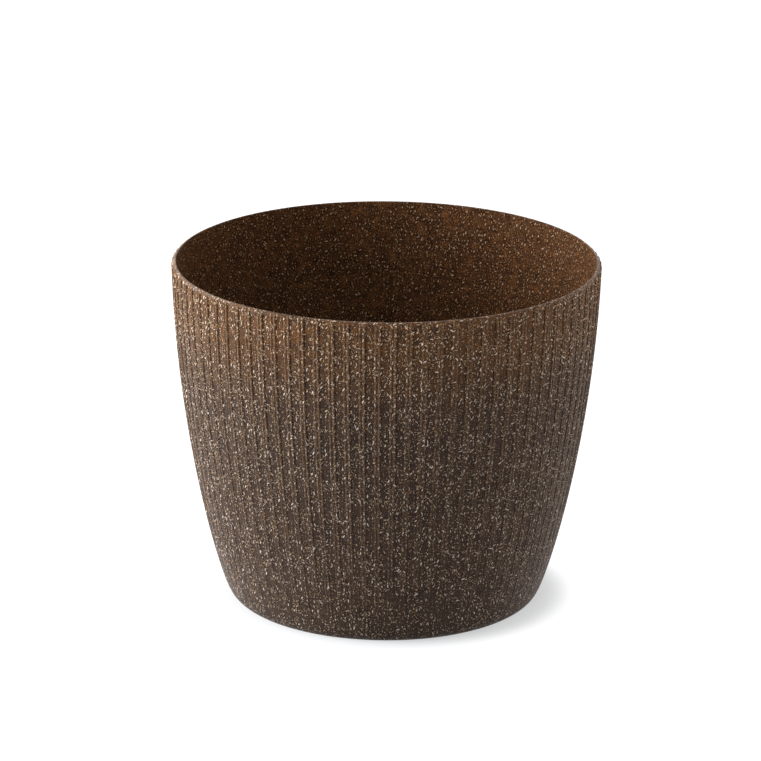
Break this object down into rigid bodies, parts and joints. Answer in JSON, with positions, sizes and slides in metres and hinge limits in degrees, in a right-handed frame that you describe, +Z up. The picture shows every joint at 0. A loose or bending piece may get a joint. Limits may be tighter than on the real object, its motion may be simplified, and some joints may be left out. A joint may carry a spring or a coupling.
{
  "type": "fluted plant pot",
  "caption": "Round tapered plastic plant pot with upright ribs in pairs, a rounded rim and a rubber plug in its drain hole.",
  "frame": {"origin": "on the ground under the middle of the pot", "axes": "+Z up along the axis of the pot; the front in the picture faces -Y"},
  "size_m": [0.1898, 0.1898, 0.155],
  "materials": {
    "pot_plastic": "moulded wood-fibre-filled polypropylene, dark brown with pale tan flecks, satin",
    "plug_rubber": "moulded black-brown rubber, matt"
  },
  "bodies": {
    "pot": {"pot_shell": "pot_plastic"},
    "plug": {"drain_plug": "plug_rubber"}
  },
  "joints": [
    {"name": "plug_lift", "type": "slide", "parent": "pot", "child": "plug", "axis": [0, 0, 1], "range_m": [0, 0.165]}
  ]
}
